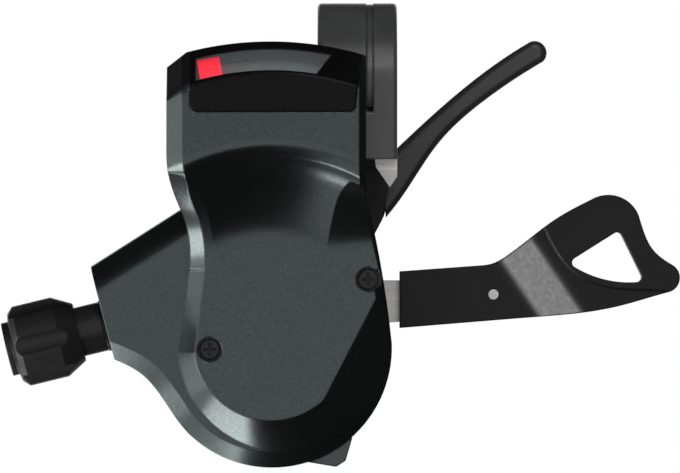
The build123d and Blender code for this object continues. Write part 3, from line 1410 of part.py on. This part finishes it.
keep(adjuster_knob.part, "adjuster_knob")
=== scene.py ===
"""Looks of the trigger gear shifter: finishes on the CAD nodes, two small pieces, studio and camera."""
import json
import math

import bpy
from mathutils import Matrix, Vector

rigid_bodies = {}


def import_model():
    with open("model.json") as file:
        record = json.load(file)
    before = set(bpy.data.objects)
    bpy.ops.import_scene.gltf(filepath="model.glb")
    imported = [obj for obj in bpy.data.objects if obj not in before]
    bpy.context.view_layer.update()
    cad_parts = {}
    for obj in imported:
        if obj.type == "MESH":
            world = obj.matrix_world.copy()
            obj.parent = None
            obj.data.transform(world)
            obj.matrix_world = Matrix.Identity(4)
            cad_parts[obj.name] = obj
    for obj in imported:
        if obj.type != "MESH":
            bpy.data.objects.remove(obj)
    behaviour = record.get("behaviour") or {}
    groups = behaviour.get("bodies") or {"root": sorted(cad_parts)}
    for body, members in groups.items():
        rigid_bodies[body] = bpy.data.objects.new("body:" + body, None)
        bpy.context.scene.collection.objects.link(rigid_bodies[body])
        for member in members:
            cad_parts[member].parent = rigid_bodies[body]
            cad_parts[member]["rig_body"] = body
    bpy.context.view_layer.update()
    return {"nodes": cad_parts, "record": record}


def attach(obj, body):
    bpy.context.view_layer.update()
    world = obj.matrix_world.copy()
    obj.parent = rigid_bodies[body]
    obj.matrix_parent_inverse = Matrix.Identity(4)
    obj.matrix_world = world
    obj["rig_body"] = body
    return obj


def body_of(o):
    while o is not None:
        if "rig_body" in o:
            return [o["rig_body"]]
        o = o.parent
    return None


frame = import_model()
nodes = frame["nodes"]

MM = 0.001
PHOTO_SIZE = (680, 473)
FRAME_PX_PER_MM = 5.56  # a little under the photograph's 5.6, to keep the whole adjuster in
FRAME_ORIGIN = (356.8, 81.8)  # pixel of the clamp's centre in the frame
LENS = 500.0
SENSOR = 36.0


# Node helpers

EDGE = 0.00045  # metres over which sharp edges catch the light
EDGE_SAMPLES = 6
NOISE_LOW, NOISE_HIGH = 0.3, 0.7  # most of a noise's values lie between these


def first_node(tree, kind):
    return next(n for n in tree.nodes if n.type == kind)


def new_material(name):
    mat = bpy.data.materials.new(name)
    mat.use_nodes = True
    tree = mat.node_tree
    return mat, tree, first_node(tree, "BSDF_PRINCIPLED")


def noise(tree, scale, detail=2.0, rough=0.5, stretch=None):
    """Noise in the shared frame, whose coordinates are metres."""
    node = tree.nodes.new("ShaderNodeTexNoise")
    node.inputs["Scale"].default_value = scale
    node.inputs["Detail"].default_value = detail
    node.inputs["Roughness"].default_value = rough
    source = tree.nodes.new("ShaderNodeTexCoord").outputs["Object"]
    if stretch:
        mapping = tree.nodes.new("ShaderNodeMapping")
        mapping.inputs["Scale"].default_value = stretch
        tree.links.new(source, mapping.inputs["Vector"])
        source = mapping.outputs["Vector"]
    tree.links.new(source, node.inputs["Vector"])
    return node.outputs["Fac"]


def ramp(tree, source, stops):
    """Colour ramp over a factor; stops are (position, colour)."""
    node = tree.nodes.new("ShaderNodeValToRGB")
    elements = node.color_ramp.elements
    while len(elements) < len(stops):
        elements.new(0.5)
    for element, (position, colour) in zip(elements, stops):
        element.position = position
        element.color = (*colour, 1.0)
    tree.links.new(source, node.inputs["Fac"])
    return node.outputs["Color"]


def span(tree, source, low, high):
    """Maps a noise to a range."""
    node = tree.nodes.new("ShaderNodeMapRange")
    node.inputs["From Min"].default_value = NOISE_LOW
    node.inputs["From Max"].default_value = NOISE_HIGH
    node.inputs["To Min"].default_value = low
    node.inputs["To Max"].default_value = high
    tree.links.new(source, node.inputs["Value"])
    return node.outputs["Result"]


def bump(tree, bsdf, source, strength, depth, edge=0.0):
    """Fine relief on a surface whose sharp edges are softened over the width edge."""
    node = tree.nodes.new("ShaderNodeBump")
    if edge:
        soft = tree.nodes.new("ShaderNodeBevel")
        soft.samples = EDGE_SAMPLES
        soft.inputs["Radius"].default_value = edge
        tree.links.new(soft.outputs["Normal"], node.inputs["Normal"])
    node.inputs["Strength"].default_value = strength
    node.inputs["Distance"].default_value = depth
    tree.links.new(source, node.inputs["Height"])
    tree.links.new(node.outputs["Normal"], bsdf.inputs["Normal"])


def larger(tree, first, second):
    node = tree.nodes.new("ShaderNodeMath")
    node.operation = "MAXIMUM"
    tree.links.new(first, node.inputs[0])
    tree.links.new(second, node.inputs[1])
    return node.outputs[0]


def shade(colour, factor):
    return tuple(c * factor for c in colour)


# Finishes

EVEN = (1.0, 1.0, 1.0)  # grain without a direction
ROLLED = (0.25, 1.0, 3.0)  # grain along the bar


def metallic_paint(name, colour):
    """Dark paint with fine bright flakes under a satin clear coat."""
    mat, tree, bsdf = new_material(name)
    flakes = noise(tree, 3600.0, detail=2.0, rough=0.6)
    tone = ramp(tree, flakes, [(0.36, shade(colour, 0.84)), (0.52, colour), (0.68, shade(colour, 1.28))])
    tree.links.new(tone, bsdf.inputs["Base Color"])
    bsdf.inputs["Metallic"].default_value = 0.95
    rough = span(tree, noise(tree, 2600.0, detail=2.0), 0.20, 0.24)
    tree.links.new(rough, bsdf.inputs["Roughness"])
    bsdf.inputs["Coat Weight"].default_value = 0.10
    bsdf.inputs["Coat Roughness"].default_value = 0.22
    bump(tree, bsdf, noise(tree, 1900.0, detail=2.0), 0.10, 0.00003, EDGE)
    return mat


def black_plastic(name, colour, roughness, grain, relief, gloss=0.35):
    """Moulded plastic or a black coating, with a fine grain."""
    mat, tree, bsdf = new_material(name)
    patches = noise(tree, 160.0, detail=3.0)
    tone = ramp(tree, patches, [(0.35, shade(colour, 0.9)), (0.65, shade(colour, 1.12))])
    tree.links.new(tone, bsdf.inputs["Base Color"])
    bsdf.inputs["Specular IOR Level"].default_value = gloss
    rough = span(tree, noise(tree, 1200.0, detail=3.0), roughness - 0.03, roughness + 0.03)
    tree.links.new(rough, bsdf.inputs["Roughness"])
    bump(tree, bsdf, noise(tree, grain, detail=2.0), relief, 0.00004, EDGE)
    return mat


def sheet_steel(name, colour, roughness, stretch, metallic=1.0):
    """Steel whose grain is stretched along the axes."""
    mat, tree, bsdf = new_material(name)
    grain = noise(tree, 260.0, detail=5.0, rough=0.65, stretch=stretch)
    tone = ramp(tree, grain, [(0.3, shade(colour, 0.8)), (0.5, colour), (0.7, shade(colour, 1.15))])
    tree.links.new(tone, bsdf.inputs["Base Color"])
    bsdf.inputs["Metallic"].default_value = metallic
    rough = span(tree, grain, roughness - 0.07, roughness + 0.09)
    tree.links.new(rough, bsdf.inputs["Roughness"])
    bump(tree, bsdf, grain, 0.15, 0.00003)
    return mat


def clear_lens(name, colour):
    """Thin clear window with a slight waviness."""
    mat, tree, bsdf = new_material(name)
    bsdf.inputs["Base Color"].default_value = (*colour, 1.0)
    bsdf.inputs["Roughness"].default_value = 0.08
    bsdf.inputs["Alpha"].default_value = 0.05
    bump(tree, bsdf, noise(tree, 90.0), 0.04, 0.0001)
    return mat


def dull_plastic(name, colour, roughness=0.5):
    """Plain matt plastic with faint patches."""
    mat, tree, bsdf = new_material(name)
    patches = noise(tree, 300.0, detail=3.0)
    tone = ramp(tree, patches, [(0.35, shade(colour, 0.92)), (0.65, shade(colour, 1.06))])
    tree.links.new(tone, bsdf.inputs["Base Color"])
    rough = span(tree, noise(tree, 800.0), roughness - 0.04, roughness + 0.05)
    tree.links.new(rough, bsdf.inputs["Roughness"])
    bump(tree, bsdf, noise(tree, 1500.0), 0.08, 0.00002)
    return mat


def painted_glow_plastic(name, colour, glow):
    """Plastic with painted light: it glows, so that it looks brighter than the lamps light it."""
    mat = dull_plastic(name, colour, 0.4)
    bsdf = first_node(mat.node_tree, "BSDF_PRINCIPLED")
    bsdf.inputs["Emission Color"].default_value = (*colour, 1.0)
    bsdf.inputs["Emission Strength"].default_value = glow
    return mat


finishes = {}  # by slot, because the frame has materials of the same names


def add_finish(make, name, colour, **settings):
    finishes[name] = make(name, colour, **settings)


add_finish(metallic_paint, "cover_paint", (0.112, 0.131, 0.130))
add_finish(black_plastic, "housing_black", (0.010, 0.010, 0.011),
           roughness=0.42, grain=1500.0, relief=0.25)
add_finish(black_plastic, "clamp_paint", (0.052, 0.054, 0.053),
           roughness=0.32, grain=1100.0, relief=0.12, gloss=1.0)
add_finish(sheet_steel, "plate_steel", (0.84, 0.82, 0.81), roughness=0.40, stretch=ROLLED, metallic=0.25)
add_finish(sheet_steel, "hardware_steel", (0.74, 0.74, 0.75), roughness=0.34, stretch=EVEN, metallic=0.5)
add_finish(sheet_steel, "screw_black", (0.035, 0.034, 0.036), roughness=0.36, stretch=EVEN, metallic=0.5)
add_finish(black_plastic, "frame_black", (0.004, 0.004, 0.004),
           roughness=0.20, grain=600.0, relief=0.04, gloss=0.2)
add_finish(clear_lens, "lens_clear", (0.30, 0.33, 0.33))
add_finish(dull_plastic, "dial_grey", (0.25, 0.28, 0.28))
# The red flag glows: painted light that makes it brighter than the lamps do
add_finish(painted_glow_plastic, "flag_red", (0.86, 0.016, 0.04), glow=0.9)
add_finish(black_plastic, "lever_black", (0.005, 0.005, 0.0055),
           roughness=0.32, grain=900.0, relief=0.12, gloss=0.34)
# Copy of the lever black with a lighter colour: a painted highlight on the release lever's cap
add_finish(black_plastic, "lever_satin", (0.022, 0.022, 0.0225),
           roughness=0.36, grain=900.0, relief=0.12, gloss=1.0)
add_finish(dull_plastic, "drum_resin", (0.62, 0.61, 0.57))
add_finish(sheet_steel, "spring_steel", (0.48, 0.48, 0.48), roughness=0.25, stretch=EVEN)

PAINTED_SHEEN = {"release_lever_cap": "lever_satin"}  # lighter than the thumb lever as a painted highlight, with more real sheen
slot_of = {row["node"]: row["material_slot"] for row in frame["record"]["subparts"]}
for name, obj in nodes.items():
    obj.data.materials.clear()
    obj.data.materials.append(finishes[PAINTED_SHEEN.get(name, slot_of[name])])


# Small pieces of the scene's own, in millimetres

STRIP_LEFT, STRIP_RIGHT = 1.72, 2.88
STRIP_LOW_R, STRIP_HIGH_R = 13.1, 13.92
STRIP_ANGLES = range(-20, 161, 4)  # degrees from the front over the top
FIN_LEFT, FIN_RIGHT, FIN_TIP_RIGHT = 0.7, 4.1, 3.7
FIN_FRONT, FIN_BACK = 3.3, 7.5
FIN_LOW, FIN_HIGH = -15.5, -14.0


def solid(name, rings, finish, like):
    """Closed piece through a row of four-cornered rings, riding with the node like."""
    corners = [tuple(c * MM for c in corner) for ring in rings for corner in ring]
    faces = [(0, 1, 2, 3), tuple(len(corners) - 1 - i for i in range(4))]
    for step in range(len(rings) - 1):
        at = 4 * step
        for i in range(4):
            j = (i + 1) % 4
            faces.append((at + i, at + 4 + i, at + 4 + j, at + j))
    mesh = bpy.data.meshes.new(name)
    mesh.from_pydata(corners, [], faces)
    obj = bpy.data.objects.new(name, mesh)
    mesh.materials.append(finishes[finish])
    bpy.context.scene.collection.objects.link(obj)
    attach(obj, body_of(nodes[like])[0])


def strip_ring(angle):
    """Section of the strip that fills the band's groove."""
    y, z = -math.cos(math.radians(angle)), math.sin(math.radians(angle))
    return [
        (STRIP_LEFT, STRIP_LOW_R * y, STRIP_LOW_R * z),
        (STRIP_RIGHT, STRIP_LOW_R * y, STRIP_LOW_R * z),
        (STRIP_RIGHT, STRIP_HIGH_R * y, STRIP_HIGH_R * z),
        (STRIP_LEFT, STRIP_HIGH_R * y, STRIP_HIGH_R * z),
    ]


def fin_ring(y):
    """Section of the top of the housing's fin, behind the bracket."""
    return [
        (FIN_LEFT, y, FIN_LOW),
        (FIN_RIGHT, y, FIN_LOW),
        (FIN_TIP_RIGHT, y, FIN_HIGH),
        (FIN_LEFT, y, FIN_HIGH),
    ]


solid("band_strip", [strip_ring(angle) for angle in STRIP_ANGLES], "clamp_paint", "clamp_band")
solid("fin_top", [fin_ring(y) for y in (FIN_FRONT, FIN_BACK)], "housing_black", "rear_housing")


# Studio

MIDDLE = Vector((-0.005, 0.0, -0.03))
DARK = 0.012
FLOOR_Z = -1.2
FLOOR_SIZE = 24.0
SKY_DIFFUSE = 0.6
SKY_SEEN = 1.0
BLACK_PIECES = ("main_lever_cap", "release_lever_cap", "adjuster_knob")


def flat(name, centre, normal, width, height):
    """Rectangle that faces along normal."""
    mesh = bpy.data.meshes.new(name)
    w, h = width / 2, height / 2
    mesh.from_pydata([(-w, -h, 0), (w, -h, 0), (w, h, 0), (-w, h, 0)], [], [(0, 1, 2, 3)])
    obj = bpy.data.objects.new(name, mesh)
    obj.location = centre
    obj.rotation_euler = Vector(normal).to_track_quat("Z", "Y").to_euler()
    bpy.context.scene.collection.objects.link(obj)
    return obj


def card(name, centre, normal, width, height, glow):
    """Studio card that only glossy surfaces see, so that the paint has something to mirror."""
    obj = flat(name, centre, normal, width, height)
    mat, _, bsdf = new_material(name)
    bsdf.inputs["Base Color"].default_value = (0.0, 0.0, 0.0, 1.0)
    bsdf.inputs["Roughness"].default_value = 1.0
    bsdf.inputs["Specular IOR Level"].default_value = 0.0
    bsdf.inputs["Emission Color"].default_value = (1.0, 1.0, 1.0, 1.0)
    bsdf.inputs["Emission Strength"].default_value = glow
    obj.data.materials.append(mat)
    obj.visible_camera = False
    obj.visible_diffuse = False
    obj.visible_shadow = False
    obj.visible_transmission = False


def softbox(name, centre, width, height, watts):
    """Area lamp aimed at the middle of the shifter."""
    data = bpy.data.lights.new(name, "AREA")
    data.shape = "RECTANGLE"
    data.size = width
    data.size_y = height
    data.energy = watts
    obj = bpy.data.objects.new(name, data)
    obj.location = centre
    aim = MIDDLE - Vector(centre)
    obj.rotation_euler = aim.to_track_quat("-Z", "Y").to_euler()
    bpy.context.scene.collection.objects.link(obj)
    return obj


# Name, centre, width, height, watts
softbox("key", (0.12, -0.75, 0.48), 0.30, 0.44, 1.3)
softbox("left_strip", (-0.55, -0.03, -0.24), 0.28, 0.26, 0.9)
lever_light = softbox("lever_light", (-0.48, -0.42, -0.36), 0.24, 0.24, 2.9)
softbox("foot_light", (-0.25, 0.13, -0.46), 0.15, 0.28, 0.74)

# The lever's lamp lights the black pieces only, because it would blow out the paint
black_pieces = bpy.data.collections.new("black_pieces")
for name in BLACK_PIECES:
    black_pieces.objects.link(nodes[name])
lever_light.light_linking.receiver_collection = black_pieces

# Name, centre, normal, width, height, glow
card("card_above", (0.0, 0.1, 0.40), (0, 0, -1), 2.2, 1.8, DARK)
card("card_up_left", (-0.75, 0.0, 0.32), (0.8, 0, -0.6), 1.6, 0.5, DARK)
card("card_right", (0.42, -0.2, -0.05), (-1, 0, 0), 1.6, 1.6, DARK)
card("card_below", (0.27, -0.11, -0.36), (0, 0, 1), 0.74, 1.26, DARK / 2)
card("card_front", (0.0, -1.2, -0.10), (0, 1, 0), 2.4, 0.6, 0.50)
card("card_front_top", (0.0, -1.2, 0.65), (0, 1, 0), 2.4, 0.9, 0.03)
card("card_brow", (0.0, -0.95, -0.43), (0, 0.92, 0.39), 1.2, 0.16, 0.45)

floor = flat("floor", (0.0, 0.0, FLOOR_Z), (0, 0, 1), FLOOR_SIZE, FLOOR_SIZE)
floor_mat, _, floor_bsdf = new_material("floor")
floor_bsdf.inputs["Base Color"].default_value = (0.9, 0.9, 0.9, 1.0)
floor_bsdf.inputs["Roughness"].default_value = 0.9
floor.data.materials.append(floor_mat)

# White sky, a little weaker as a light than as it is seen
world = bpy.data.worlds.new("studio")
bpy.context.scene.world = world
world.use_nodes = True
sky = world.node_tree
background = first_node(sky, "BACKGROUND")
background.inputs["Color"].default_value = (1.0, 1.0, 1.0, 1.0)
rays = sky.nodes.new("ShaderNodeLightPath").outputs
mirrored = larger(sky, rays["Is Camera Ray"], rays["Is Glossy Ray"])
seen = larger(sky, mirrored, rays["Is Transmission Ray"])
sky_level = sky.nodes.new("ShaderNodeMapRange")
sky_level.inputs["To Min"].default_value = SKY_DIFFUSE
sky_level.inputs["To Max"].default_value = SKY_SEEN
sky.links.new(seen, sky_level.inputs["Value"])
sky.links.new(sky_level.outputs["Result"], background.inputs["Strength"])


# Camera square to the cover, at nearly the photograph's scale

centre_x = (PHOTO_SIZE[0] / 2 - FRAME_ORIGIN[0]) / FRAME_PX_PER_MM * MM
centre_z = (FRAME_ORIGIN[1] - PHOTO_SIZE[1] / 2) / FRAME_PX_PER_MM * MM
distance = PHOTO_SIZE[0] / FRAME_PX_PER_MM * MM * LENS / SENSOR
camera_data = bpy.data.cameras.new("camera")
camera_data.lens = LENS
camera_data.sensor_width = SENSOR
camera = bpy.data.objects.new("camera", camera_data)
camera.location = (centre_x, -distance, centre_z)
camera.rotation_euler = (math.pi / 2, 0.0, 0.0)
bpy.context.scene.collection.objects.link(camera)
bpy.context.scene.camera = camera
bpy.context.scene.view_settings.view_transform = "Standard"
